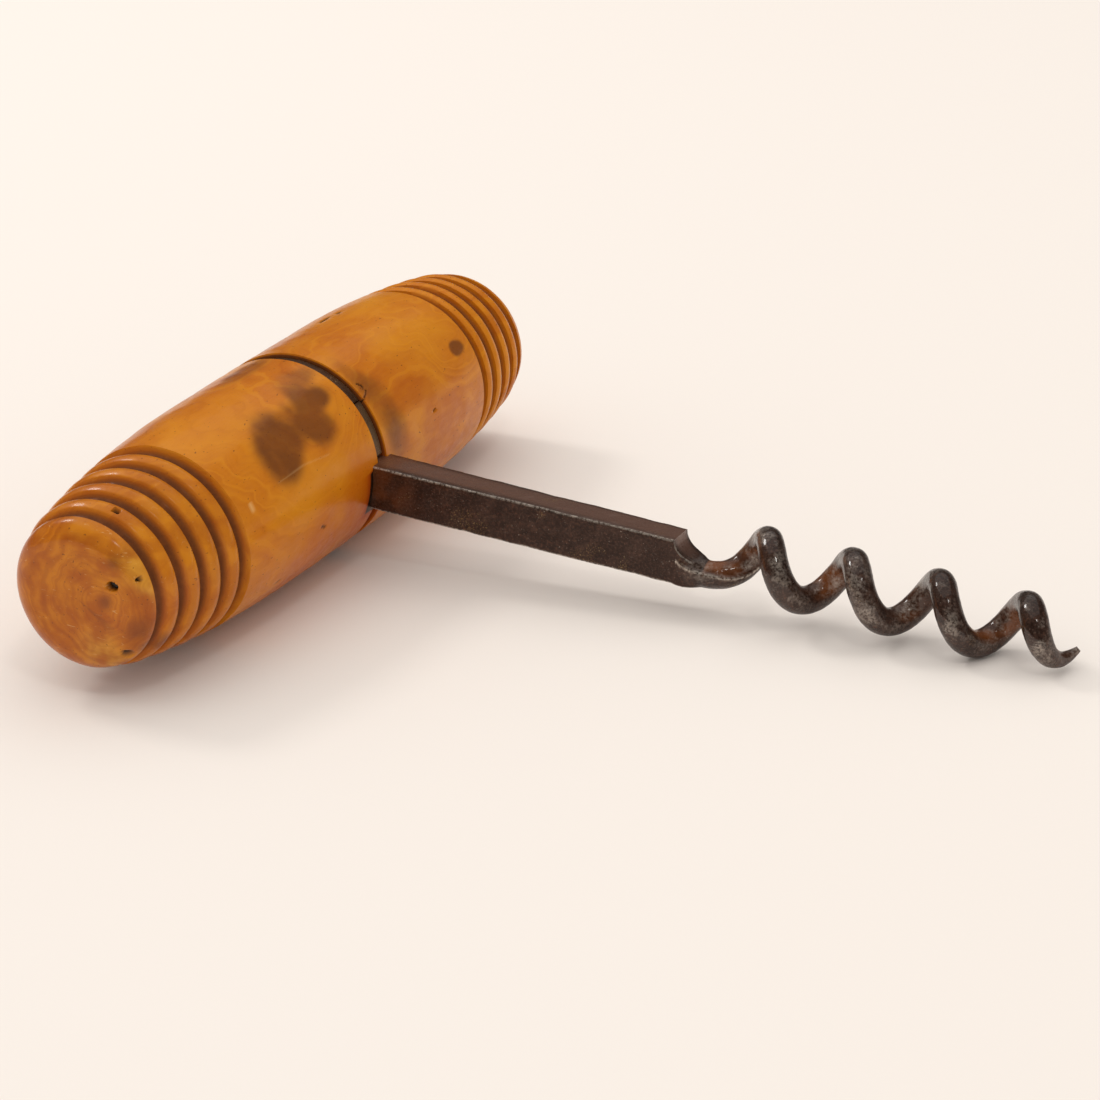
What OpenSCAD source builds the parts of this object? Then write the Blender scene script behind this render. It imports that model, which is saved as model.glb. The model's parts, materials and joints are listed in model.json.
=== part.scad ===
// Direct-pull corkscrew: a turned wooden cross handle on a forged iron shank and worm.
// It lies on a table as it does when put down: the handle and the underside of the worm touch z = 0.
// The handle runs along Y and the worm points along +X. Units are millimetres.

/* [Handle] */
// Radius of the handle at its waist
waist_r = 14; // [12:0.5:16]
// Length from the waist to the end that has the wider beads
long_half = 54; // [52:0.5:58]
// Length from the waist to the other end
short_half = 51.5; // [50:0.5:56]
// How much thinner the handle is near its ends than at its waist
end_drop = 3.4; // [2:0.1:4.5]
// How late the taper towards the ends sets in
barrel_power = 3.2; // [2:0.1:4]
// Radius of the flat left in the middle of each end
end_flat_r = 6.8; // [4:0.2:7.5]

/* [Turned grooves] */
// Grooves cut round each end
groove_count = 5; // [3:1:5]
// Distance from the waist to the first groove, long half
long_first_groove = 34; // [32:0.2:35]
// Groove spacing, long half
long_pitch = 3.95; // [3.2:0.05:4]
// Distance from the waist to the first groove, short half
short_first_groove = 32; // [30:0.2:33]
// Groove spacing, short half
short_pitch = 3.72; // [3.2:0.02:3.8]
// Width of each groove
groove_w = 1.9; // [1.4:0.1:2.1]
// Depth of each groove below the edges of its beads
groove_d = 0.9; // [0.5:0.1:1.4]
// How much each bead is rounded off at its edges
bead_crown = 0.3; // [0.1:0.05:0.5]

/* [Waist band] */
// Width of the groove round the waist
band_groove_w = 2.3; // [1.8:0.1:3]
// Depth of the groove round the waist
band_groove_d = 1.6; // [1.2:0.1:2]
// Thickness of the iron band
band_t = 1.0; // [0.7:0.1:1.1]
// Angle above the shank at which the band's two upper lengths meet
seam_angle = 46; // [30:1:70]
// Gap between the band's ends and the shank
band_gap = 0.35; // [0.1:0.05:0.6]

/* [Shank] */
// Height of the bar
bar_h = 6.3; // [5.5:0.1:7]
// Width of the bar where it leaves the handle
bar_w = 5.5; // [4.5:0.1:6]
// How much narrower the bar is at its far end
bar_narrowing = 0.9; // [0:0.1:1.5]
// Distance from the handle's axis to the end of the bar's top face
bar_end = 57.5; // [50:0.5:65]
// How far the bar's centreline lies below the handle's axis
bar_drop = 0.8; // [0:0.1:1.5]
// Side of the square tang that passes through the handle
tang_w = 4; // [3:0.2:4.4]
// Depth of the pocket that takes the bar, from the handle's surface
pocket_d = 8; // [5:0.5:10]

/* [Worm] */
// Outside diameter of the worm
worm_d = 10.2; // [9:0.1:10.5]
// Diameter of the worm's wire
wire_d = 3.7; // [3:0.1:3.8]
// Distance between turns
worm_pitch = 11.75; // [10:0.05:13]
// Turns from where the wire has curled down to the table side to its point
worm_turns = 4.13; // [3.13:1:5.13]
// Extra turning packed into the last half turn
end_curl = 28; // [0:2:40]
// How far the worm's axis lies above the handle's axis
worm_rise = 0.9; // [0:0.1:1.2]

/* [Rivet] */
// Diameter of the washer under the rivet
washer_d = 9; // [8:0.5:11]
// Thickness of the washer
washer_t = 1.2; // [0.8:0.1:1.6]
// Height of the hammered rivet head
rivet_h = 1.3; // [1:0.1:1.8]

/* [Hidden] */

wood = [0.78, 0.47, 0.16];
iron = [0.24, 0.19, 0.17];
fit_gap = 0.1;
past = 1;
round_fn = 96;

// ---- Resting position ----
wire_r = wire_d / 2;
tip_r = 0.35;
coil_r = (worm_d - wire_d) / 2;
// The first turn forms over ramp_len, which adds half of that to its length.
ramp_len = 5;
worm_start = bar_end + 4;
coil_origin = worm_start + ramp_len / 2;
// The worm rests on the last low point that comes before its wire starts to thin.
last_low_x = coil_origin + (floor(worm_turns) - 1) * worm_pitch;
worm_low = worm_d / 2 - worm_rise;
lie_reach = sqrt(last_low_x * last_low_x + worm_low * worm_low);
lie_angle = asin(waist_r / lie_reach) - atan2(worm_low, last_low_x);
rivet_x = sqrt(waist_r * waist_r - washer_d * washer_d / 4) - 0.3;
head_x = rivet_x + washer_t;
worm_end_x = coil_origin + (worm_turns - end_curl / 360) * worm_pitch;
thinning = worm_pitch / 2;
back_reach = (head_x + rivet_h) * cos(lie_angle) + bar_drop * sin(lie_angle);
front_reach = worm_end_x * cos(lie_angle) + worm_point(worm_end_x)[2] * sin(lie_angle);

// Puts a shape made round the handle's centre, with the shank along +X, into its resting place.
module lie() {
    translate([(back_reach - front_reach) / 2, (long_half - short_half) / 2, waist_r])
        rotate([0, lie_angle, 0])
            children();
}

// ---- Handle ----
arc_steps = 7;
barrel_steps = 12;
taper_ref = 50.6;
cap_steps = 8;

// Radius of the smooth barrel at distance s from the waist.
function barrel_r(s) = waist_r - end_drop * pow(s / taper_ref, barrel_power);

// One turned groove: half an ellipse sunk between the rounded edges of its beads.
function groove_points(start) = [
    for (i = [0 : arc_steps])
        let (a = 180 * i / arc_steps, s = start + groove_w * (1 - cos(a)) / 2)
            [barrel_r(s) - bead_crown - groove_d * sin(a), s]
];

// The crown of the bead between two grooves, without the points that it shares with them.
function bead_points(start, width) = [
    for (i = [1 : arc_steps - 1])
        let (u = 2 * i / arc_steps - 1, s = start + width * i / arc_steps)
            [barrel_r(s) - bead_crown * u * u, s]
];

// The rounded edge between the last groove and the flat of the end.
function cap_points(start, half) = let (r = barrel_r(start) - bead_crown) [
    for (i = [1 : cap_steps])
        let (a = 90 * i / cap_steps)
            [end_flat_r + (r - end_flat_r) * cos(a), start + (half - start) * sin(a)]
];

// Outline of one half of the handle, from the waist groove out to the flat of its end.
function half_outline(half, first, pitch) = concat(
    [for (i = [0 : barrel_steps])
        let (s = band_groove_w / 2 + (first - band_groove_w / 2) * i / barrel_steps)
            [barrel_r(s) - (i == barrel_steps ? bead_crown : 0), s]],
    [for (k = [0 : groove_count - 1])
        each concat(
            groove_points(first + k * pitch),
            k < groove_count - 1 ? bead_points(first + k * pitch + groove_w, pitch - groove_w) : [])],
    cap_points(first + (groove_count - 1) * pitch + groove_w, half)
);

module half_body(half, first, pitch) {
    floor_r = waist_r - band_groove_d;
    rotate_extrude($fn = round_fn)
        polygon(concat([[0, 0], [floor_r, 0], [floor_r, band_groove_w / 2]],
            half_outline(half, first, pitch), [[0, half]]));
}

module handle() {
    color(wood) lie() difference() {
        union() {
            rotate([90, 0, 0]) half_body(long_half, long_first_groove, long_pitch);
            rotate([-90, 0, 0]) half_body(short_half, short_first_groove, short_pitch);
        }
        // Pocket for the end of the bar.
        translate([waist_r - pocket_d, -bar_w / 2 - fit_gap, -bar_drop - bar_h / 2 - fit_gap])
            cube([pocket_d + past, bar_w + 2 * fit_gap, bar_h + 2 * fit_gap]);
        // Square mortise for the tang.
        translate([-waist_r - past, -tang_w / 2 - fit_gap, -bar_drop - tang_w / 2 - fit_gap])
            cube([2 * waist_r, tang_w + 2 * fit_gap, tang_w + 2 * fit_gap]);
        // Flat seat for the washer.
        translate([-rivet_x, 0, -bar_drop]) rotate([0, -90, 0])
            cylinder(d = washer_d + 4 * fit_gap, h = waist_r, $fn = round_fn);
    }
}

// ---- Waist band ----
band_floor_r = waist_r - band_groove_d;
// Angles round the handle, from the shank upwards, at which the band's lengths begin and end.
upper_front = asin((bar_h / 2 - bar_drop + band_gap) / band_floor_r);
lower_front = -asin((bar_h / 2 + bar_drop + band_gap) / band_floor_r);
upper_back = 180 - asin((washer_d / 2 - bar_drop + 2 * band_gap) / band_floor_r);
lower_back = -180 + asin((washer_d / 2 + bar_drop + 2 * band_gap) / band_floor_r);
seam_gap = 1;

module band_length(from, to) {
    color(iron) lie()
        rotate([90, 0, 0]) rotate([0, 0, from])
            rotate_extrude(angle = to - from, $fn = round_fn)
                translate([band_floor_r, -band_groove_w / 2 + fit_gap / 2])
                    square([band_t, band_groove_w - fit_gap]);
}

module band_front_piece() band_length(upper_front, seam_angle - seam_gap / 2);
module band_upper_arc() band_length(seam_angle + seam_gap / 2, upper_back);
module band_lower_arc() band_length(lower_back, lower_front);

// ---- Shank and worm, one forging ----
corner_steps = 4;
bar_corner = 0.45;
turn_steps = 20;

// Wire's radius at each part of a turn from the end: it thins over the last half turn to a point.
function wire_radius(x) =
    let (left = (worm_end_x - x) / thinning)
        left >= 1 ? wire_r : tip_r + (wire_r - tip_r) * sin(90 * max(left, 0));

// How far round the worm's axis the wire has gone at x: straight down at first, then a steady helix
// that tightens over its last half turn.
function worm_angle(x) =
    let (u = x - worm_start, late = max(0, 1 - (worm_end_x - x) / thinning))
        -90 + end_curl * late * late
            + 360 / worm_pitch * (u <= 0 ? 0 : u < ramp_len ? u * u / (2 * ramp_len) : u - ramp_len / 2);

// The centreline draws in a little towards the worm's axis as it nears the point.
function worm_reach(x) = coil_r - 0.95 * (wire_r - wire_radius(x));
function worm_point(x) =
    let (a = worm_angle(x), r = worm_reach(x)) [x, r * cos(a), worm_rise + r * sin(a)];

function unit(v) = v / norm(v);

// A ring of points with rounded corners: half height h across the first direction, half width w across the second.
function ring(centre, across_h, across_w, h, w, corner) = [
    for (q = [0 : 3], j = [0 : corner_steps - 1])
        let (
            a = 90 * q + 90 * (j + 0.5) / corner_steps,
            ch = (q == 0 || q == 3) ? h - corner : corner - h,
            cw = (q == 0 || q == 1) ? w - corner : corner - w)
            centre + across_h * (ch + corner * cos(a)) + across_w * (cw + corner * sin(a))
];

function worm_ring(x) =
    let (
        step = 0.02,
        along = unit(worm_point(x + step) - worm_point(x - step)),
        a = worm_angle(x),
        radial = [0, cos(a), sin(a)],
        out = unit(radial - along * (radial * along)),
        r = wire_radius(x))
        ring(worm_point(x), out, cross(along, out), r, r, r);

// Straight stations from the rivet head to where the wire begins: x, height of the centre, half height, half width, corner.
low_z = worm_rise - coil_r;
bar_floor = -bar_drop - bar_h / 2;
bar_end_w = (bar_w - bar_narrowing) / 2;
shoulder_steps = 6;
function shoulder(t) =
    let (
        fall = sin(90 * t),
        on = 1 - cos(90 * t),
        h = bar_h / 2 * (1 - fall) + wire_r * fall,
        w = bar_end_w * (1 - on) + wire_r * on,
        c = bar_corner * (1 - on) + wire_r * on)
        [bar_end + (worm_start - bar_end) * on, (bar_floor + h) * (1 - on) + low_z * on, h, w, min(c, h, w)];
stations = concat(
    [
        [-head_x - rivet_h, -bar_drop, 1.2, 1.2, 1.1],
        [-head_x - 0.75 * rivet_h, -bar_drop, 2.2, 2.2, 2.1],
        [-head_x - 0.35 * rivet_h, -bar_drop, 2.9, 2.9, 2.8],
        [-head_x, -bar_drop, 3.1, 3.1, 3],
        [-head_x, -bar_drop, tang_w / 2, tang_w / 2, bar_corner],
        [waist_r - pocket_d, -bar_drop, tang_w / 2, tang_w / 2, bar_corner],
        [waist_r - pocket_d, -bar_drop, bar_h / 2, bar_w / 2, bar_corner],
        [waist_r, -bar_drop, bar_h / 2, bar_w / 2, bar_corner],
    ],
    [for (i = [0 : shoulder_steps]) shoulder(i / shoulder_steps)]
);
worm_steps = round((worm_end_x - worm_start) / worm_pitch * turn_steps);
rings = concat(
    [for (s = stations) ring([s[0], 0, s[1]], [0, 0, -1], [0, 1, 0], s[2], s[3], s[4])],
    [for (i = [1 : worm_steps]) worm_ring(worm_start + (worm_end_x - worm_start) * i / worm_steps)]
);

module shank_and_worm() {
    sides = 4 * corner_steps;
    last = len(rings) - 1;
    color(iron) lie() polyhedron(
        points = [for (r = rings) each r],
        faces = concat(
            [[for (k = [0 : sides - 1]) k]],
            [for (i = [0 : last - 1], k = [0 : sides - 1])
                let (n = (k + 1) % sides, a = i * sides, b = (i + 1) * sides)
                    each [[a + k, b + k, b + n], [a + k, b + n, a + n]]],
            [[for (k = [0 : sides - 1]) last * sides + sides - 1 - k]]));
}

// ---- Washer under the rivet ----
module rivet_washer() {
    color(iron) lie()
        translate([-rivet_x, 0, -bar_drop]) rotate([0, -90, 0]) difference() {
            cylinder(d = washer_d, h = washer_t, $fn = round_fn);
            translate([0, 0, washer_t / 2])
                cube([tang_w + 2 * fit_gap, tang_w + 2 * fit_gap, 2 * washer_t], center = true);
        }
}

handle();
band_front_piece();
band_upper_arc();
band_lower_arc();
shank_and_worm();
rivet_washer();
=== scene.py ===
import json
import math

import bpy
import numpy as np
from mathutils import Euler, Matrix, Vector


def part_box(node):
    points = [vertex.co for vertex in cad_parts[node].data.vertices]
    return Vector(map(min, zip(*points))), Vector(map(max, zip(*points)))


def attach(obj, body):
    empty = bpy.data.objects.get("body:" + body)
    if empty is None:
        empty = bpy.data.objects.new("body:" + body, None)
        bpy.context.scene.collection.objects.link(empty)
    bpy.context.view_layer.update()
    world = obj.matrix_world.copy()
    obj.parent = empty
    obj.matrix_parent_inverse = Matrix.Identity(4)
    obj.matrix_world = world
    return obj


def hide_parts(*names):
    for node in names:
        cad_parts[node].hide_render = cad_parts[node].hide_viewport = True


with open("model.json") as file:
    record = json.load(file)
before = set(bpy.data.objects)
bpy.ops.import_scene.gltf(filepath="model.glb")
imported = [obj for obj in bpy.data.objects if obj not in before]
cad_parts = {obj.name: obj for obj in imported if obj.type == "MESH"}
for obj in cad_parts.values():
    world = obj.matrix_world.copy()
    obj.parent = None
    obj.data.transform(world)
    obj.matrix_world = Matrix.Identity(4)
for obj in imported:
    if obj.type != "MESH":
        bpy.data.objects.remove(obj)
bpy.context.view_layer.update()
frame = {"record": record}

# ---- Resting place ----
# The tool is a wooden cross handle on a forged shank. It lies on the handle's side and the worm's underside,
# so the shank slopes down a few degrees. Shapes are worked out square to the tool and then laid down.

MM = 0.001
LONG_HALF, SHORT_HALF = 54.0, 51.5
WAIST_R = 14.0
worm_axis = next(m["axis"] for m in frame["record"]["mounts"] if m["name"] == "worm")
slope = math.atan2(-worm_axis[2], worm_axis[0])
handle_low, handle_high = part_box("handle")
handle_centre = (handle_low + handle_high) / 2
waist = Vector((handle_centre.x, handle_centre.y + (LONG_HALF - SHORT_HALF) / 2 * MM, WAIST_R * MM))
laid_down = Matrix.Translation(waist) @ Matrix.Rotation(slope, 4, "Y") @ Matrix.Scale(MM, 4)


def laid_mesh(name, points, ring=False):
    """A mesh from a grid of points (along, across, 3) in millimetres, laid down. The second index runs round
    the shape and closes. The first runs along it, and its ends are closed by fans to their middle points,
    unless ring is true, when its last row meets its first."""
    along, across, _ = points.shape
    flat = points.reshape(-1, 3)
    verts = flat if ring else np.vstack([flat, points[0].mean(axis=0), points[-1].mean(axis=0)])
    i, j = np.arange(along if ring else along - 1)[:, None], np.arange(across)[None, :]
    next_i, next_j = (i + 1) % along * across, (j + 1) % across
    corners = (i * across + j, next_i + j, next_i + next_j, i * across + next_j)
    faces = np.stack(np.broadcast_arrays(*corners), axis=-1).reshape(-1, 4).tolist()
    if not ring:
        k, n = np.arange(across), (np.arange(across) + 1) % across
        first, last = along * across, (along - 1) * across
        faces += np.stack([0 * k + first, k, n], axis=1).tolist()
        faces += np.stack([0 * k + first + 1, last + n, last + k], axis=1).tolist()
    turn = np.array(laid_down)
    verts = verts @ turn[:3, :3].T + turn[:3, 3]
    mesh = bpy.data.meshes.new(name)
    mesh.from_pydata(verts.tolist(), [], faces)
    mesh.polygons.foreach_set("use_smooth", np.ones(len(faces), dtype=bool))
    mesh.update()
    piece = bpy.data.objects.new(name, mesh)
    bpy.context.scene.collection.objects.link(piece)
    return piece


def paint(piece, **layers):
    """Stores each grid of numbers as a vertex attribute. A middle point takes its end ring's mean."""
    for name, values in layers.items():
        full = np.concatenate([values.reshape(-1), [values[0].mean(), values[-1].mean()]])
        layer = piece.data.attributes.new(name, "FLOAT", "POINT")
        layer.data.foreach_set("value", full[:len(piece.data.vertices)].astype(np.float32))


def smooth(low, high, x):
    """0 below low, 1 above high, and an S-shaped rise between them."""
    t = np.clip((x - low) / (high - low), 0, 1)
    return t * t * (3 - 2 * t)


def rumple(points, scale, seed, waves=9):
    """Smooth unevenness about 0: a sum of sine waves with directions and phases drawn from seed."""
    draw = np.random.default_rng(seed)
    directions = draw.normal(size=(3, waves)) * scale
    return np.sin(points @ directions + draw.uniform(0, 2 * np.pi, waves)).sum(axis=-1) / math.sqrt(waves)


# ---- Handle ----
# One piece of boxwood, turned between centres to a barrel, with grooves cut round both ends and a narrow
# groove round the waist. Old gloss varnish lies over it, with knots, cracks, wormholes and knocks.

END_DROP, TAPER_REF, BARREL_POWER = 3.4, 50.6, 3.2
GROOVES, GROOVE_W, GROOVE_DEPTH, BEAD_CROWN = 5, 1.9, 0.9, 0.3
LONG_FIRST_GROOVE, LONG_PITCH, SHORT_FIRST_GROOVE, SHORT_PITCH = 34.0, 3.95, 32.0, 3.72
END_FLAT_R = 6.8
BAND_GROOVE_W, BAND_GROOVE_DEPTH = 2.3, 1.6
BAR_H, BAR_W, BAR_DROP = 6.3, 5.5, 0.8
SEAT_X, SEAT_R = 12.957, 4.7


def barrel_r(s):
    """Radius of the smooth barrel at distance s from the waist: it falls by a power of the distance."""
    return WAIST_R - END_DROP * (s / TAPER_REF) ** BARREL_POWER


def half_outline(side, half, first, pitch, flat_rows):
    """Outline of one half as rows of (radius, place, groove depth): the waist groove's wall, the barrel, then
    grooves as half ellipses with rounded beads between them, and a quarter-round edge to the end's flat."""
    wall = np.linspace(0, 1, 6)
    near = BAND_GROOVE_W / 2
    rows = [(WAIST_R - BAND_GROOVE_DEPTH * (1 - wall), near + 0.12 * wall ** 5, 1 - wall ** 9)]
    s = near + 0.2 + (first - near - 0.35) * np.linspace(0.05, 1, 62) ** 1.35
    rows.append((barrel_r(s), s, 0 * s))
    for k in range(GROOVES):
        start = first + k * pitch
        turn = np.linspace(0, np.pi, 9)
        s, deep = start + GROOVE_W * (1 - np.cos(turn)) / 2, np.sin(turn) ** 0.8
        rows.append((barrel_r(s) - BEAD_CROWN - GROOVE_DEPTH * deep, s, 0.35 + 0.65 * deep))
        u = np.linspace(-1, 1, 9)[1:-1]
        s = start + GROOVE_W + (pitch - GROOVE_W) * (u + 1) / 2
        if k < GROOVES - 1:
            rows.append((barrel_r(s) - BEAD_CROWN * u ** 2, s, 0.3 * smooth(0.5, 1, np.abs(u))))
    start += GROOVE_W
    edge_r = barrel_r(start) - BEAD_CROWN
    turn = np.linspace(0, np.pi / 2, 13)[1:]
    edge = END_FLAT_R + (edge_r - END_FLAT_R) * np.cos(turn)
    rows.append((edge, start + (half - start) * np.sin(turn), 0 * turn))
    r = np.linspace(END_FLAT_R, 0.12, flat_rows)[1:]
    rows.append((r, 0 * r + half, 0 * r))
    rows = np.hstack([np.stack(row) for row in rows]).T
    return rows * (1, side, 1)


long_outline = half_outline(-1, LONG_HALF, LONG_FIRST_GROOVE, LONG_PITCH, 24)
short_outline = half_outline(1, SHORT_HALF, SHORT_FIRST_GROOVE, SHORT_PITCH, 8)
outline = np.vstack([long_outline[::-1], short_outline])
# Angle 0 faces the worm and 90 degrees is the top. Columns stand closer where the marks and the shank are.
around = np.radians(np.concatenate([np.linspace(-22, 75, 156), np.linspace(75, 338, 141)[1:-1]]))
radius, place, groove = (outline[:, n][:, None] + 0 * around for n in range(3))
angle = 0 * place + around
spot = np.stack([radius * np.cos(angle), place, radius * np.sin(angle)], axis=-1)
arc = WAIST_R * (np.mod(angle + np.pi / 2, 2 * np.pi) - np.pi / 2)


def blotch(at_deg, at_place, across, along, ragged, seed):
    """1 inside a patch on the barrel and 0 outside, with a ragged soft edge. Sizes are half widths."""
    off = np.hypot((arc - WAIST_R * math.radians(at_deg)) / across, (place - at_place) / along)
    return 1 - smooth(0.35, 1.4, off + ragged * rumple(spot, 0.9 / min(across, along) ** 0.5, seed))


# Knots and smudges: the arguments of blotch, then how dark each one is.
stain = 0 * radius
for patch in (
    (56, -18.6, 4.2, 4.8, 0.08, 1, 1.0), (45, -21.0, 4.2, 4.6, 0.08, 2, 0.85),
    (65, -9.2, 3.2, 2.6, 0.10, 3, 0.95), (46, -10.8, 3.0, 4.4, 0.10, 4, 0.85),
    (61, -6.6, 1.9, 3.9, 0.12, 5, 0.85), (77, -5.2, 2.2, 5.4, 0.14, 6, 0.5),
    (107, -6.6, 2.2, 6.4, 0.12, 7, 0.62), (37, 4.0, 6.5, 3.4, 0.12, 8, 0.5),
    (16, 5.4, 4.6, 3.4, 0.12, 9, 0.45), (60, 3.4, 4.0, 1.8, 0.2, 10, 0.4),
    (40.3, 27.7, 1.0, 1.6, 0.3, 11, 1.3), (-30, -51, 2.6, 3.2, 0.1, 12, 0.75),
    (58, -12.6, 3.0, 2.4, 0.12, 18, 0.7),
    (205, 18, 4.0, 6.5, 0.15, 13, 0.6), (150, -25, 2.0, 3.2, 0.15, 14, 0.5),
    (-80, 12, 3.0, 6.0, 0.2, 15, 0.45),
):
    stain = 1 - (1 - stain) * (1 - np.clip(patch[6] * blotch(*patch[:6]), 0, 1))

end_smudges = ((8.8, -53.4, -2.6), 2.6, 0.55), ((5.2, -54.0, 6.3), 1.3, 0.5), ((4.2, -54, 0.5), 1.3, 0.5)
for centre, size, strength in end_smudges:
    stain = np.maximum(stain, strength * np.exp(-(np.linalg.norm(spot - centre, axis=-1) / size) ** 2))

# Wormholes: the middle of each one and its radius. They are painted near-black as the shade inside them.
hole = 0 * radius
for centre, size in (
    ((5.0, -54.0, 2.9), 0.62), ((8.6, -53.0, 4.5), 0.36), ((2.4, -48.8, 10.7), 0.42),
    ((7.0, -53.2, -6.1), 0.6), ((13.3, 16.0, 3.9), 0.2),
):
    off = np.linalg.norm((spot - centre) / (1.25, 1, 0.9), axis=-1)
    hole = np.maximum(hole, 1 - smooth(0.75 * size, 1.2 * size, off))


def crack(corners, width):
    """1 on a line through corners given as (degrees, place) on the barrel, 0 further than width from it."""
    nearest = 0 * radius + 9
    for (a0, p0), (a1, p1) in zip(corners, corners[1:]):
        a0, a1 = WAIST_R * math.radians(a0), WAIST_R * math.radians(a1)
        da, dp = a1 - a0, p1 - p0
        t = np.clip(((arc - a0) * da + (place - p0) * dp) / (da * da + dp * dp), 0, 1)
        nearest = np.minimum(nearest, np.hypot(arc - a0 - t * da, place - p0 - t * dp))
    return 1 - smooth(0.35 * width, width, nearest)


split = crack(((44.5, 1.1), (46.3, 2.2), (48.0, 2.9), (49.9, 2.75), (52.0, 3.0), (54.4, 2.4)), 0.15)
nicks = np.maximum(crack(((-4.6, -16.6), (-6.4, -15.8)), 0.24), crack(((-27, -25.2), (-29, -24.4)), 0.25))
nicks = np.maximum(nicks, crack(((112, 14.0), (109, 20.5)), 0.22))
scar = crack(((26.5, -31.4), (32.0, -31.0)), 0.3)
scar = scar + 0.3 * crack(((33, -24.0), (33.5, -18.0), (30.5, -12.0)), 0.16)

# Growth rings bend round each knot by the curl. The end has painted patches of yellow light, and its grain is
# darker.
curl = 0.7 * sum(blotch(deg, at, wide, long, 0, 0) for deg, at, wide, long in (
    (54, -18.0, 13, 15), (56, -9.5, 8, 9), (107, -6.6, 6, 10), (40, 27.7, 5, 7), (205, 18, 10, 14)))
glow = sum(np.exp(-(np.linalg.norm(spot - c, axis=-1) / size) ** 2) for c, size in (
    ((7.6, -53.2, 6.6), 2.2), ((9.0, -52.4, 3.2), 1.7), ((3.4, -54, -6.4), 2.6), ((5.5, -53.5, -8.2), 1.8)))
end_grain = smooth(31, 40, -place) * 0.55 + 0.45 * smooth(49, 53, np.abs(place))
# Warm patches beside and below the bar's root are part of the red shade painted round the bar.
warm = np.maximum(blotch(-6, -5.5, 7.5, 6.0, 0.1, 16), 0.7 * blotch(-22, -15, 8, 9, 0.15, 17))

# Distance from the bar's sides, which are let into the wood. The wood is painted black against them as the
# shadow in the gap, and red nearby as painted shade, but less so above the bar and on its far side.
bar_gap = np.maximum(np.abs(spot[..., 1]) - BAR_W / 2, np.abs(spot[..., 2] + BAR_DROP) - BAR_H / 2)
far_side = smooth(1.6, 2.6, spot[..., 1]) + smooth(1.4, 2.2, spot[..., 2])
in_front = spot[..., 0] > 0
socket = np.where(in_front, 1 - smooth(0.25, 2.2, bar_gap + 2.0 * far_side), 0)
# The red that fades out over 9 mm from the bar is painted shade.
blush = np.maximum(0.7 * warm, np.where(in_front, 1 - smooth(0.2, 9.0, bar_gap + 5.0 * far_side), 0))

# The worn surface is a little uneven, and it dips at the cracks, nicks, scars and wormholes.
uneven = 0.05 * rumple(spot, 0.16, 11) + 0.022 * rumple(spot, 0.8, 12)
on_side = smooth(5.0, 9.0, radius) * (1 - 0.5 * groove)
worn_r = radius - on_side * (0.1 + np.clip(uneven, -0.1, 0.1)) - 0.2 * split - 0.15 * nicks - 0.07 * scar
worn_r -= 0.75 * hole * smooth(8.0, 10.0, radius)
depth = 0.75 * hole * (1 - smooth(8.0, 10.0, radius)) * np.sign(place)
wood_points = np.stack([worn_r * np.cos(angle), place - depth, worn_r * np.sin(angle)], axis=-1)

# The washer's seat at the back: points inside its rim drop to its floor, and those nearby close up to the
# rim.
from_seat = wood_points[..., 1:] - (0, -BAR_DROP)
seat_off = np.linalg.norm(from_seat, axis=-1)
behind = wood_points[..., 0] < 0
to_rim = np.where(seat_off < SEAT_R, SEAT_R - 0.03, SEAT_R + 0.03) / np.maximum(seat_off, 0.01)
near_rim = behind & (np.abs(seat_off - SEAT_R) < 0.3)
on_rim = from_seat * to_rim[..., None] + (0, -BAR_DROP)
wood_points[..., 1:] = np.where(near_rim[..., None], on_rim, wood_points[..., 1:])
in_seat = behind & (seat_off < SEAT_R)
wood_points[..., 0] = np.where(in_seat, np.maximum(wood_points[..., 0], -SEAT_X), wood_points[..., 0])

handle_wood = laid_mesh("handle_wood", wood_points)
handle_wood.data.set_sharp_from_angle(angle=math.radians(55))
# The socket mask also paints the washer's seat floor red, as shade in that recess.
paint(handle_wood, groove=groove, stain=stain, curl=curl, glow=glow, blush=blush, end_grain=end_grain,
      hole=np.clip(hole + split + nicks, 0, 1), pale=scar, socket=np.maximum(socket, 0.7 * in_seat))
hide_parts("handle")
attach(handle_wood, "root")


def new_material(name):
    """A material that holds one Principled shader. Returns it with its node tree and that shader."""
    material = bpy.data.materials.new(name)
    material.use_nodes = True
    tree = material.node_tree
    shader = tree.nodes["Principled BSDF"]
    return material, tree, shader


def add(tree, kind, links=(), **settings):
    """Adds a shader node and sets its properties. Each input named in links is linked to a socket or filled
    with a value."""
    node = tree.nodes.new(kind)
    for key, value in settings.items():
        setattr(node, key, value)
    for key, value in dict(links).items():
        if isinstance(value, bpy.types.NodeSocket):
            tree.links.new(value, node.inputs[key])
        else:
            node.inputs[key].default_value = value
    return node


def maths(tree, operation, a, b=0.0, c=0.0, clamp=False):
    """One sum on numbers or sockets."""
    return add(tree, "ShaderNodeMath", {0: a, 1: b, 2: c}, operation=operation, use_clamp=clamp).outputs[0]


def blend_colour(tree, mask, under, over):
    """The colour under, with over laid on it where mask is 1."""
    return add(tree, "ShaderNodeMix", {0: mask, 6: under, 7: over}, data_type="RGBA").outputs[2]


def span(tree, value, low, high, to_low=0.0, to_high=1.0):
    """Rescales value from low..high to to_low..to_high, in an S-shaped curve that stops at both ends."""
    links = {"Value": value, "From Min": low, "From Max": high, "To Min": to_low, "To Max": to_high}
    return add(tree, "ShaderNodeMapRange", links, interpolation_type="SMOOTHSTEP").outputs[0]


def marked(tree, name):
    """The number that a piece's named attribute holds."""
    return add(tree, "ShaderNodeAttribute", attribute_name=name).outputs["Fac"]


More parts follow.
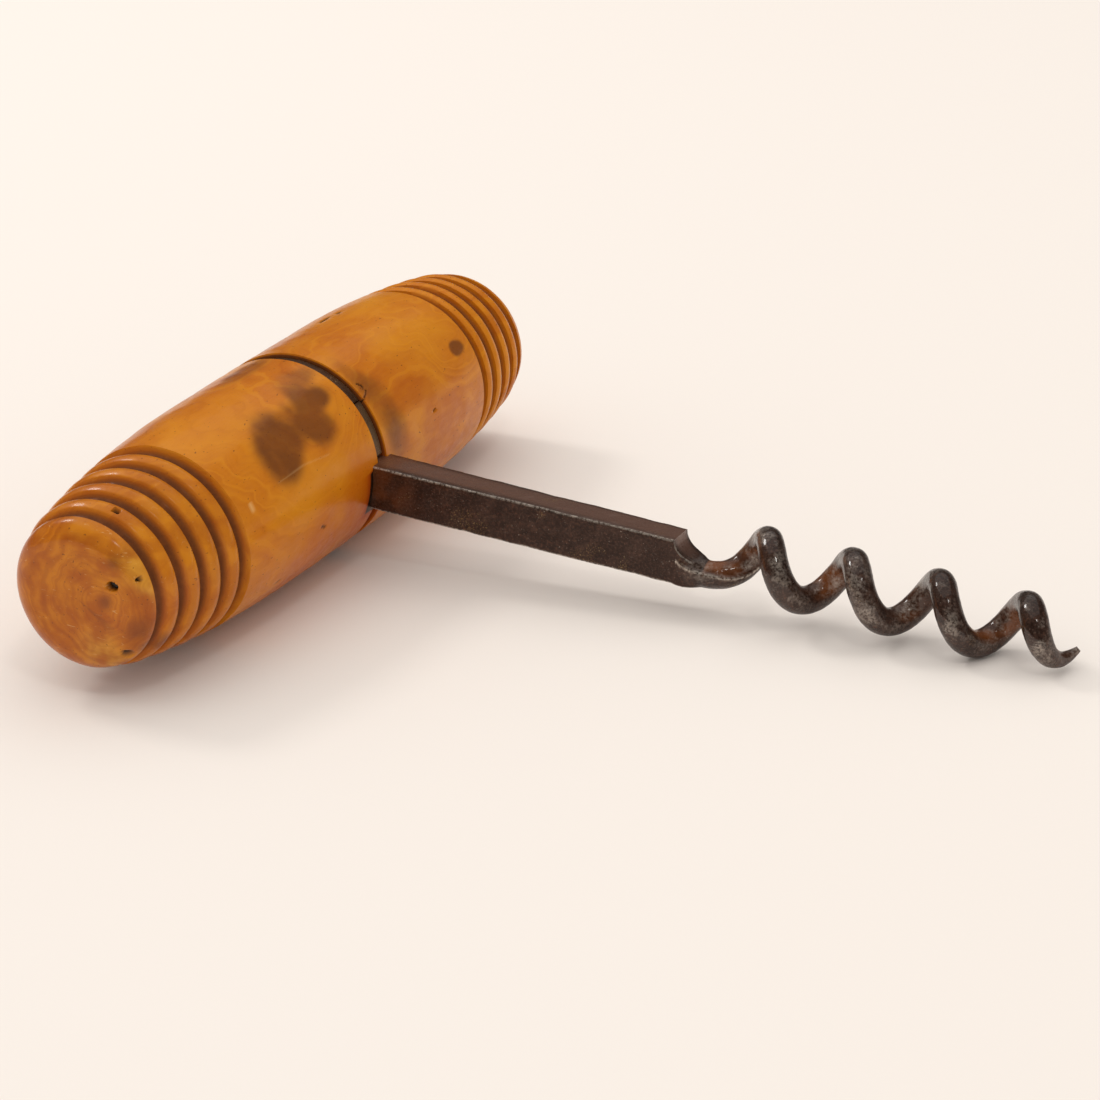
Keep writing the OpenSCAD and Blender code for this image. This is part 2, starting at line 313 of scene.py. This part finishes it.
def tool_place(tree):
    """Position in millimetres, square to the tool, from the middle of the handle."""
    place = add(tree, "ShaderNodeTexCoord").outputs["Object"]
    links = {"Vector": place, "Location": waist, "Rotation": (0, slope, 0), "Scale": (MM, MM, MM)}
    return add(tree, "ShaderNodeMapping", links, vector_type="TEXTURE").outputs[0]


def grainy(tree, place, stretch, scale, detail=3.0, rough=0.55, twist=0.0):
    """Noise about 0.5 at place, drawn out by the three stretch factors."""
    drawn = add(tree, "ShaderNodeVectorMath", {0: place, 1: stretch}, operation="MULTIPLY").outputs[0]
    links = {"Vector": drawn, "Scale": scale, "Detail": detail, "Roughness": rough, "Distortion": twist}
    return add(tree, "ShaderNodeTexNoise", links).outputs["Fac"]


HONEY, AMBER, GOLD = (0.57, 0.170, 0.004, 1), (0.40, 0.080, 0.002, 1), (0.68, 0.262, 0.009, 1)
KNOT, GROOVE_BROWN, HOLE_BLACK = (0.115, 0.030, 0.009, 1), (0.115, 0.032, 0.007, 1), (0.014, 0.006, 0.003, 1)
BLUSH, DUSKY = (0.43, 0.060, 0.0006, 1), (0.36, 0.078, 0.002, 1)
YEAR_LINE = (0.25, 0.052, 0.003, 1)
RAW_WOOD, SOCKET_RED, YELLOW = (0.78, 0.50, 0.20, 1), (0.34, 0.050, 0.003, 1), (0.80, 0.42, 0.05, 1)
PITH = (-4.3, 0.0, -0.5)

varnished_wood, tree, shader = new_material("varnished boxwood")
place_mm = tool_place(tree)
from_pith = {0: place_mm, 1: (1, 0.02, 1), 2: PITH}
from_pith = add(tree, "ShaderNodeVectorMath", from_pith, operation="MULTIPLY_ADD").outputs[0]
swell = grainy(tree, place_mm, (1, 0.45, 1), 0.11, 3.0)
ring_r = add(tree, "ShaderNodeVectorMath", {0: from_pith}, operation="LENGTH").outputs["Value"]
ring_r = maths(tree, "MULTIPLY_ADD", marked(tree, "curl"), 5.0, ring_r)
ring_r = maths(tree, "MULTIPLY_ADD", swell, 9.0, ring_r)
ring_links = {"W": ring_r, "Scale": 1.1, "Detail": 4.0}
rings = add(tree, "ShaderNodeTexNoise", ring_links, noise_dimensions="1D").outputs["Fac"]
fibres = grainy(tree, place_mm, (1, 0.05, 1), 2.6, 4.0)
mottle = grainy(tree, place_mm, (1, 0.6, 1), 0.10, 3.0, 0.5, 0.4)
tone = maths(tree, "MULTIPLY_ADD", rings, 0.7, maths(tree, "MULTIPLY_ADD", fibres, 0.25, 0.03))
wood = blend_colour(tree, span(tree, tone, 0.26, 0.62, 0.45, 1.0), AMBER, HONEY)
wood = blend_colour(tree, maths(tree, "MULTIPLY", span(tree, mottle, 0.36, 0.78), 0.7), wood, GOLD)
wood = blend_colour(tree, span(tree, mottle, 0.48, 0.22, 0.0, 0.35), wood, AMBER)
wood = blend_colour(tree, maths(tree, "MULTIPLY", span(tree, rings, 0.57, 0.64), 0.22), wood, GOLD)
# Painted light: patches of yellow glow on the end.
wood = blend_colour(tree, maths(tree, "MULTIPLY", marked(tree, "glow"), 0.75, clamp=True), wood, YELLOW)
cloud = grainy(tree, place_mm, (1, 0.8, 1), 0.9, 4.0, 0.6)
cloudy = grainy(tree, place_mm, (1, 1, 1), 0.24, 3.0, 0.5)
dusky = maths(tree, "MULTIPLY", marked(tree, "end_grain"), span(tree, cloudy, 0.36, 0.64, 0.3, 0.9))
wood = blend_colour(tree, dusky, wood, DUSKY)
year_lines = maths(tree, "MULTIPLY", marked(tree, "end_grain"), span(tree, rings, 0.58, 0.36, 0.0, 0.2))
wood = blend_colour(tree, year_lines, wood, YEAR_LINE)
flecks = grainy(tree, place_mm, (0.35, 1, 1.6), 1.1, 2.0, 0.5, 2.0)
flecks = maths(tree, "MULTIPLY", marked(tree, "end_grain"), span(tree, flecks, 0.66, 0.76, 0.0, 0.35))
wood = blend_colour(tree, flecks, wood, RAW_WOOD)
knot = maths(tree, "MULTIPLY", marked(tree, "stain"), span(tree, cloudy, 0.34, 0.60, 0.88, 1.15))
knot = maths(tree, "MULTIPLY", span(tree, knot, 0.02, 0.95), span(tree, mottle, 0.3, 0.7, 0.82, 1.08))
wood = blend_colour(tree, maths(tree, "MULTIPLY", knot, 0.82, clamp=True), wood, KNOT)
wood = blend_colour(tree, maths(tree, "MULTIPLY", marked(tree, "pale"), 0.5, clamp=True), wood, RAW_WOOD)
specks = grainy(tree, place_mm, (1, 0.5, 1), 3.2, 2.0, 0.4)
wood = blend_colour(tree, span(tree, specks, 0.70, 0.76, 0.0, 0.75), wood, GROOVE_BROWN)
wood = blend_colour(tree, span(tree, marked(tree, "groove"), 0.05, 0.75, 0.0, 0.55), wood, AMBER)
dirt = span(tree, marked(tree, "groove"), 0.48, 1.0)
dirt = maths(tree, "MULTIPLY", dirt, span(tree, cloud, 0.2, 0.6, 0.82, 0.98))
wood = blend_colour(tree, dirt, wood, GROOVE_BROWN)
# Painted shade: red round the bar's root.
wood = blend_colour(tree, maths(tree, "MULTIPLY", marked(tree, "blush"), 0.8, clamp=True), wood, BLUSH)
# Painted shade: red round the bar's root and in the washer's seat, black in the gap against the bar.
wood = blend_colour(tree, span(tree, marked(tree, "socket"), 0.0, 0.8, 0.0, 0.8), wood, SOCKET_RED)
wood = blend_colour(tree, span(tree, marked(tree, "socket"), 0.78, 0.96), wood, HOLE_BLACK)
# Painted shade: the wormholes, cracks and nicks are near-black.
wood = blend_colour(tree, marked(tree, "hole"), wood, HOLE_BLACK)
tree.links.new(wood, shader.inputs["Base Color"])
rough = maths(tree, "MULTIPLY_ADD", dirt, 0.25, span(tree, cloud, 0.3, 0.7, 0.30, 0.44))
tree.links.new(rough, shader.inputs["Roughness"])
coat = maths(tree, "MULTIPLY_ADD", dirt, -0.45, span(tree, mottle, 0.3, 0.7, 0.36, 0.20))
coat = maths(tree, "MULTIPLY_ADD", marked(tree, "end_grain"), 0.4, coat)
tree.links.new(maths(tree, "MAXIMUM", coat, 0.0), shader.inputs["Coat Weight"])
shader.inputs["Specular IOR Level"].default_value = 0.12
shader.inputs["Coat Roughness"].default_value = 0.14
shader.inputs["Coat IOR"].default_value = 1.34
ripple = grainy(tree, place_mm, (1, 0.35, 1), 1.1, 4.0)
ripple = maths(tree, "MULTIPLY_ADD", ripple, 0.5, maths(tree, "MULTIPLY", fibres, 0.16))
ripple = maths(tree, "MULTIPLY_ADD", specks, -0.2, ripple)
bump = add(tree, "ShaderNodeBump", {"Height": ripple, "Strength": 0.35, "Distance": 0.25 * MM})
tree.links.new(bump.outputs[0], shader.inputs["Normal"])
handle_wood.data.materials.append(varnished_wood)

# ---- Shank and worm ----
# One iron forging, from the rivet head at the back through a square tang to a flat-sided bar. Past the
# shoulder it is drawn out to round wire, wound right-handed into the worm and thinned to a point.

BAR_END, WIRE_R, COIL_R, WORM_RISE = 57.5, 1.85, 3.25, 0.9
WORM_PITCH, WORM_TURNS, END_CURL, RAMP, TIP_R = 11.75, 4.13, math.radians(28), 5.0, 0.35
POCKET_X, TANG_HALF, BAR_NARROWING, RIDGE_H = WAIST_R - 8.0, 2.0, 0.9, 0.62
WORN_SIDE = (-0.1, -0.85, 0.5)
HEAD_X, RIVET_H, RIVET_R = SEAT_X + 1.2, 1.3, 3.1
# Powers of the superellipse that gives a section its shape: 2 is round, and higher powers are squarer.
ROUND, BAR_SQUARE = 2.1, 15
worm_start = BAR_END + 4.0
worm_end = worm_start + RAMP / 2 + (WORM_TURNS - END_CURL / (2 * np.pi)) * WORM_PITCH
thinning = WORM_PITCH / 2


def wire_radius(x):
    """The wire's radius, which falls over the last half turn by a quarter of a sine wave."""
    left = np.clip((worm_end - x) / thinning, 0, 1)
    return TIP_R + (WIRE_R - TIP_R) * np.sin(np.pi / 2 * left)


def worm_centre(x):
    """The wire's centreline: straight at first, then a helix whose turning speeds up over the ramp, and
    again, by the square of the distance, over the last half turn."""
    u = np.clip(x - worm_start, 0, None)
    turned = np.where(u < RAMP, u * u / (2 * RAMP), u - RAMP / 2)
    late = np.clip(1 - (worm_end - x) / thinning, 0, 1)
    a = -np.pi / 2 + 2 * np.pi / WORM_PITCH * turned + END_CURL * late ** 2
    r = COIL_R - 0.95 * (WIRE_R - wire_radius(x))
    return np.stack([x, r * np.cos(a), WORM_RISE + r * np.sin(a)], axis=-1), a


# Each station along the forging: x, centre height, half height, half width and how square its section is.
head = np.linspace(0, np.pi / 2, 12)[1:]
head_x, head_r = -HEAD_X - RIVET_H * np.cos(head), RIVET_R * np.sin(head) ** 0.8
bar_x = np.linspace(POCKET_X, BAR_END, 230)
fall = np.linspace(0, np.pi / 2, 46)[1:]
on, drop = 1 - np.cos(fall), np.sin(fall)
shoulder_x = BAR_END + (worm_start - BAR_END) * on
worm_x = np.linspace(worm_start, worm_end - 0.06, 341)[1:]
bar_low = -BAR_DROP - BAR_H / 2
bar_half_w = BAR_W / 2 - BAR_NARROWING / 2 * smooth(WAIST_R, BAR_END, bar_x)
shoulder_h = BAR_H / 2 * (1 - drop) + WIRE_R * drop
shoulder_z = (bar_low + shoulder_h) * (1 - on) + (WORM_RISE - COIL_R) * on
x = np.concatenate([head_x, [-HEAD_X, POCKET_X], bar_x, shoulder_x, worm_x])
z = np.concatenate([0 * head_x - BAR_DROP, [-BAR_DROP] * 2, 0 * bar_x - BAR_DROP, shoulder_z, 0 * worm_x])
half_h = np.concatenate([head_r, [TANG_HALF] * 2, 0 * bar_x + BAR_H / 2, shoulder_h, wire_radius(worm_x)])
half_w = np.concatenate([head_r, [TANG_HALF] * 2, bar_half_w,
                         bar_half_w[-1] * (1 - on) + WIRE_R * on, wire_radius(worm_x)])
square = np.concatenate([0 * head_x + 2.2, [9] * 2, 0 * bar_x + BAR_SQUARE,
                         BAR_SQUARE - (BAR_SQUARE - ROUND) * smooth(0.1, 1, on), 0 * worm_x + ROUND])
on_worm = x > worm_start
helix, helix_angle = worm_centre(x)
centre = np.where(on_worm[:, None], helix, np.stack([x, 0 * x, z], axis=-1))
along = np.gradient(worm_centre(x)[0], x, axis=0)
along = np.where(on_worm[:, None], along / np.linalg.norm(along, axis=1, keepdims=True), (1, 0, 0))
outward = np.stack([0 * x, np.cos(helix_angle), np.sin(helix_angle)], axis=-1)
outward -= along * (outward * along).sum(axis=1, keepdims=True)
outward /= np.linalg.norm(outward, axis=1, keepdims=True)
sideways = -np.cross(along, outward)

# Points round a section stand closer at the corners of the bar. Angle 0 is its underside and 90 its near
# side.
even = np.linspace(0, 2 * np.pi, 129)[:-1][None, :]
squareness = smooth(2.5, 12, square)[:, None]
turned = even + 0.17 * squareness * np.sin(4 * even)
rough_arris = 1 + 0.2 * np.sin(0.9 * x[:, None] + 3 * turned) * np.sin(0.37 * x[:, None] + turned)
power = ROUND + (square[:, None] - ROUND) * rough_arris
flat_h, flat_w = np.abs(np.cos(turned)) / half_h[:, None], np.abs(np.sin(turned)) / half_w[:, None]
section_r = (flat_h ** power + flat_w ** power) ** (-1 / power)
corner = 4 * (flat_h * flat_w) ** power / (flat_h ** power + flat_w ** power) ** 2

# The near face of the bar runs on below the shoulder as a ridge on the wire, which fades within a turn.
ridge_height = RIDGE_H * smooth(BAR_END, BAR_END + 2.5, x) * (1 - smooth(61, 68.5, x))
ridge_turn = np.degrees(turned) - 112
ridge = np.where(ridge_turn > 0, 1 - smooth(0, 16, ridge_turn), 1 - smooth(0, 75, -ridge_turn))
section_r = section_r + ridge_height[:, None] * ridge
# The ridge's top edge gets a painted highlight line, and the bar's corners are painted bright as rubbed metal
# and as highlight.
ridge_line = np.exp(-(ridge_turn / 5) ** 2) * (ridge_height[:, None] > 0.04)
arris = np.maximum(smooth(0.6, 1.0, corner) * squareness, ridge_line)

rays = outward[:, None] * np.cos(turned)[..., None] + sideways[:, None] * np.sin(turned)[..., None]
iron_points = centre[:, None] + rays * section_r[..., None]
hammered = 0.04 * rumple(iron_points, 0.22, 21) + 0.014 * rumple(iron_points, 1.1, 22)
hammered = hammered + 0.010 * rumple(iron_points, 4.0, 23, 14)
shown = np.minimum(1, section_r / 1.2) * np.where((x > -HEAD_X) & (x < 8), 0, 1)[:, None]
iron_points = iron_points + rays * (shown * (np.clip(hammered, -0.12, 0.1) - 0.04))[..., None]
inner = smooth(0.1, 0.9, -np.cos(turned)) * on_worm[:, None] + 0.5 * smooth(23, WAIST_R, x)[:, None]
shank_iron = laid_mesh("shank_and_worm_iron", iron_points)
shank_iron.data.set_sharp_from_angle(angle=math.radians(60))
upper = smooth(0.75, 0.95, -np.cos(turned)) * (1 - smooth(BAR_END, worm_start, x))[:, None]
# The worm is painted rubbed bare mostly on one side, above its near flank, which also stands in for the light
# falling on that side. The bar's upper face is painted paler.
worn = smooth(0.0, 0.9, rays @ WORN_SIDE) * smooth(BAR_END, worm_start + 4, x)[:, None]
paint(shank_iron, arris=arris, inner=inner, upper=upper, worn=worn)
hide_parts("shank_and_worm")
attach(shank_iron, "root")

# Old iron: black-brown scale in uneven patches, with brown rust where it is sheltered, small golden-brown
# blisters of rust, and bare metal where it is rubbed, which on edges and on one side of the worm is also
# painted highlight and light, and a paler tone where asked. Both the forging and the strip are aged in this
# way.
aged_iron = bpy.data.node_groups.new("aged iron", "ShaderNodeTree")
NUMBER, COLOUR = "NodeSocketFloat", "NodeSocketColor"
for socket_name, kind in (("Place", "NodeSocketVector"), ("Rubbed", NUMBER), ("Sheltered", NUMBER),
                          ("Dusty", NUMBER), ("Scale", COLOUR), ("Bloom", COLOUR)):
    aged_iron.interface.new_socket(socket_name, in_out="INPUT", socket_type=kind)
for socket_name, kind in (("Color", COLOUR), ("Metal", NUMBER), ("Rough", NUMBER), ("Height", NUMBER)):
    aged_iron.interface.new_socket(socket_name, in_out="OUTPUT", socket_type=kind)
given = add(aged_iron, "NodeGroupInput").outputs
RUST, BLISTER, BARE = (0.19, 0.052, 0.007, 1), (0.42, 0.26, 0.09, 1), (0.62, 0.54, 0.46, 1)
patches = grainy(aged_iron, given["Place"], (1, 1, 1), 0.35, 5.0, 0.65)
freckle = grainy(aged_iron, given["Place"], (1, 1, 1), 2.6, 4.0, 0.7)
pits = grainy(aged_iron, given["Place"], (1, 1, 1), 5.5, 3.0, 0.6)
islands = grainy(aged_iron, given["Place"], (1, 1, 1), 0.22, 2.0, 0.5)
bloom = span(aged_iron, freckle, 0.42, 0.68, 0.0, 0.3)
bloom = maths(aged_iron, "ADD", bloom, span(aged_iron, patches, 0.40, 0.64, 0.0, 0.16))
bloom = maths(aged_iron, "MAXIMUM", bloom, given["Dusty"])
aged = blend_colour(aged_iron, bloom, given["Scale"], given["Bloom"])
rusted = maths(aged_iron, "MULTIPLY", given["Sheltered"], span(aged_iron, islands, 0.4, 0.62, 0.15, 0.9))
rusted = maths(aged_iron, "MAXIMUM", rusted, span(aged_iron, freckle, 0.58, 0.72, 0.0, 0.28))
aged = blend_colour(aged_iron, rusted, aged, RUST)
blister = span(aged_iron, pits, 0.54, 0.70, 0.0, 0.6)
blister = maths(aged_iron, "MULTIPLY", blister, span(aged_iron, islands, 0.60, 0.70))
aged = blend_colour(aged_iron, blister, aged, BLISTER)
rub = maths(aged_iron, "MULTIPLY", given["Rubbed"], span(aged_iron, freckle, 0.38, 0.60, 0.1, 1.0))
rub = maths(aged_iron, "MAXIMUM", rub, span(aged_iron, pits, 0.66, 0.74, 0.0, 0.7))
aged = blend_colour(aged_iron, rub, aged, BARE)
metal = maths(aged_iron, "MULTIPLY_ADD", rub, 0.5, 0.45)
metal = maths(aged_iron, "MULTIPLY", metal, maths(aged_iron, "MULTIPLY_ADD", rusted, -0.6, 1.0))
roughness = maths(aged_iron, "MULTIPLY_ADD", rub, -0.14, span(aged_iron, freckle, 0.3, 0.7, 0.26, 0.46))
height = maths(aged_iron, "MULTIPLY_ADD", pits, 0.35, maths(aged_iron, "MULTIPLY", freckle, 0.7))
add(aged_iron, "NodeGroupOutput", {"Color": aged, "Metal": metal, "Rough": roughness, "Height": height})


def age(tree, shader, rubbed, sheltered, dusty, scale_colour, bloom_colour, depth):
    """Feeds a shader from the aged iron group. Rubbed-and-lit, sheltered and paler run from 0 to 1 and may be
    sockets; the rubbed-and-lit bare metal is partly painted highlight and light. Depth is the height of the
    pitting in millimetres."""
    links = {"Place": tool_place(tree), "Rubbed": rubbed, "Sheltered": sheltered,
             "Dusty": dusty, "Scale": scale_colour, "Bloom": bloom_colour}
    node = add(tree, "ShaderNodeGroup", node_tree=aged_iron)
    for key, value in links.items():
        if isinstance(value, bpy.types.NodeSocket):
            tree.links.new(value, node.inputs[key])
        else:
            node.inputs[key].default_value = value
    tree.links.new(node.outputs["Color"], shader.inputs["Base Color"])
    tree.links.new(node.outputs["Metal"], shader.inputs["Metallic"])
    tree.links.new(node.outputs["Rough"], shader.inputs["Roughness"])
    links = {"Height": node.outputs["Height"], "Strength": 0.6, "Distance": depth * MM}
    tree.links.new(add(tree, "ShaderNodeBump", links).outputs[0], shader.inputs["Normal"])


forged_iron, tree, shader = new_material("forged iron")
# Bare spots on the worm's worn side: painted wear that also stands in for light on that side.
worn_spots = span(tree, grainy(tree, tool_place(tree), (1, 1, 1), 0.34, 4.0, 0.65), 0.45, 0.66, 0.0, 0.46)
worn_spots = maths(tree, "MULTIPLY", marked(tree, "worn"), worn_spots)
# Bare metal on the edges and the worn side is partly painted highlight and light.
rubbed = maths(tree, "MAXIMUM", marked(tree, "arris"), worn_spots)
age(tree, shader, rubbed, marked(tree, "inner"), marked(tree, "upper"),
    (0.024, 0.0085, 0.0038, 1), (0.165, 0.086, 0.060, 1), 0.2)
tree.links.new(maths(tree, "MULTIPLY_ADD", marked(tree, "worn"), 0.6, 0.25), shader.inputs["Coat Weight"])
shader.inputs["Specular IOR Level"].default_value = 0.22
shader.inputs["Coat Roughness"].default_value = 0.07
shank_iron.data.materials.append(forged_iron)

# ---- Waist band ----
# Narrow iron strip let into the groove round the handle's waist, in three lengths: the bar and the riveted
# tang are wider than the strip and interrupt it. A seam above the shank parts the two upper lengths.

BAND_T, SEAM_DEG, SEAM_GAP, BAND_GAP = 1.0, 46.0, 1.0, 0.35
floor_r = WAIST_R - BAND_GROOVE_DEPTH
band_w = BAND_GROOVE_W - 0.12


def clears(height):
    """The angle round the handle, in degrees, at which the groove's floor is at this height."""
    return math.degrees(math.asin(height / floor_r))


lengths = {
    "band_front_piece": (clears(BAR_H / 2 - BAR_DROP + BAND_GAP), SEAM_DEG - SEAM_GAP / 2),
    "band_upper_arc": (SEAM_DEG + SEAM_GAP / 2, 180 - clears(SEAT_R - 0.2 - BAR_DROP + 2 * BAND_GAP)),
    "band_lower_arc": (-180 + clears(SEAT_R - 0.2 + BAR_DROP + 2 * BAND_GAP),
                       -clears(BAR_H / 2 + BAR_DROP + BAND_GAP)),
}
band_iron, tree, shader = new_material("strip iron")
# The front length of the strip is painted paler.
front_dust = span(tree, marked(tree, "facing"), 0.0, 1.0, 0.1, 0.75)
age(tree, shader, maths(tree, "MULTIPLY", marked(tree, "arris"), 0.5), 0.25, front_dust,
    (0.036, 0.016, 0.008, 1), (0.160, 0.098, 0.045, 1), 0.2)
for band_name, (start, stop) in lengths.items():
    turn = np.radians(np.linspace(start, stop, max(24, int(abs(stop - start) * 1.6))))[:, None]
    edge = np.linspace(0, 2 * np.pi, 41)[:-1][None, :]
    # The strip's section is a rounded oblong, flat below and slightly domed above.
    wide = np.sign(np.cos(edge)) * np.abs(np.cos(edge)) ** 0.3 * band_w / 2 + 0 * turn
    thick = np.sign(np.sin(edge)) * np.abs(np.sin(edge)) ** 0.3 * BAND_T / 2
    outside = thick > 0
    uneven = 0.03 * np.sin(9 * turn) * outside - 0.08 * (2 * wide / band_w) ** 4 * outside
    strip_r = floor_r + BAND_T / 2 + thick + uneven
    points = np.stack([strip_r * np.cos(turn), -wide, strip_r * np.sin(turn)], axis=-1)
    strip = laid_mesh(band_name + "_iron", points)
    strip.data.set_sharp_from_angle(angle=math.radians(60))
    # The outer edges are painted bright: rubbed metal and a painted highlight.
    paint(strip, arris=smooth(0.8, 0.95, np.abs(2 * wide / band_w)) * outside,
          facing=smooth(50, 40, np.abs(np.degrees(turn))) + 0 * wide)
    strip.data.materials.append(band_iron)
    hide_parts(band_name)
    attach(strip, "root")

# ---- Rivet washer ----
# Round iron washer that sits in its seat at the back of the handle, under the hammered head of the tang.
# It was punched from sheet, so its rim is slightly uneven and its edges are rounded.

WASHER_R, WASHER_T, WASHER_HOLE = 4.5, 1.2, 2.2
loop = np.linspace(0, 2 * np.pi, 33)[:-1][:, None]
turn = np.linspace(0, 2 * np.pi, 97)[:-1][None, :]
middle_r, half_r = (WASHER_R + WASHER_HOLE) / 2, (WASHER_R - WASHER_HOLE) / 2
# Its section is a rounded oblong, carried round the rivet.
out = middle_r + half_r * np.sign(np.cos(loop)) * np.abs(np.cos(loop)) ** 0.25 + 0 * turn
out = out + 0.05 * np.sin(3 * turn + 1) * (out > middle_r)
back = -SEAT_X - WASHER_T / 2 - WASHER_T / 2 * np.sign(np.sin(loop)) * np.abs(np.sin(loop)) ** 0.25 + 0 * turn
points = np.stack([back, out * np.cos(turn), out * np.sin(turn) - BAR_DROP], axis=-1)
washer = laid_mesh("rivet_washer_iron", points, ring=True)
washer.data.set_sharp_from_angle(angle=math.radians(60))
# The outer rim is painted bright: rubbed metal and a painted highlight.
paint(washer, arris=smooth(0.75, 1, (out - middle_r) / half_r))
washer.data.materials.append(band_iron)
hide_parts("rivet_washer")
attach(washer, "root")

# ---- Floor, light and camera ----
# A plain warm-white sheet, lit by one large soft panel above and behind on the left and a pale surround.
# Two small lamps add the glints, one behind on the left and one above the near side.

FLOOR_HALF = 6.0
floor_mesh = bpy.data.meshes.new("floor")
floor_mesh.from_pydata([(-FLOOR_HALF, -FLOOR_HALF, 0), (FLOOR_HALF, -FLOOR_HALF, 0),
                        (FLOOR_HALF, FLOOR_HALF, 0), (-FLOOR_HALF, FLOOR_HALF, 0)], [], [(0, 1, 2, 3)])
floor = bpy.data.objects.new("floor", floor_mesh)
bpy.context.scene.collection.objects.link(floor)
paper, tree, shader = new_material("floor paper")
shader.inputs["Base Color"].default_value = (0.86, 0.795, 0.735, 1)
shader.inputs["Roughness"].default_value = 0.9
shader.inputs["Specular IOR Level"].default_value = 0.1
floor_mesh.materials.append(paper)


def soft_panel(name, centre, aim, size, power, colour):
    """A square area light at centre, turned towards aim."""
    light = bpy.data.lights.new(name, "AREA")
    light.shape, light.size, light.energy, light.color = "SQUARE", size, power, colour
    lamp = bpy.data.objects.new(name, light)
    lamp.location = centre
    lamp.rotation_euler = (Vector(aim) - Vector(centre)).to_track_quat("-Z", "Y").to_euler()
    bpy.context.scene.collection.objects.link(lamp)


soft_panel("overhead", (-0.35, 0.40, 1.4), (0, 0, 0), 2.2, 7.2, (1.0, 0.985, 0.97))
soft_panel("key", (-0.75, 0.15, 0.75), (-0.05, 0, 0), 0.20, 1.8, (1.0, 0.98, 0.95))
soft_panel("glint", (0.40, -0.45, 1.0), (0.03, 0, 0), 0.14, 0.9, (1.0, 0.98, 0.95))
world = bpy.data.worlds.new("surround")
bpy.context.scene.world = world
world.use_nodes = True
# The surround lights the tool evenly, as a light tent does, but its reflection is flagged off with dark
# cloth, and seen directly it is as pale as the floor.
surround = world.node_tree
ray = add(surround, "ShaderNodeLightPath").outputs
lit = blend_colour(surround, ray["Is Glossy Ray"], (0.80, 0.785, 0.77, 1), (0.06, 0.055, 0.05, 1))
backdrop = surround.nodes["Background"]
backdrop.inputs["Strength"].default_value = 1.0
seen = blend_colour(surround, ray["Is Camera Ray"], lit, (0.95, 0.88, 0.81, 1))
surround.links.new(seen, backdrop.inputs["Color"])
bpy.context.scene.view_settings.view_transform = "Standard"

camera_data = bpy.data.cameras.new("camera")
camera_data.sensor_width, camera_data.lens = 36.0, 118.0
camera_data.shift_x, camera_data.shift_y = -0.0556, -0.0324
camera_data.clip_start, camera_data.clip_end = 0.01, 50.0
camera = bpy.data.objects.new("camera", camera_data)
camera.location = (0.1864, -0.3947, 0.1860)
camera.rotation_euler = Euler((math.radians(68.31), math.radians(1.39), math.radians(24.69)))
bpy.context.scene.collection.objects.link(camera)
bpy.context.scene.camera = camera
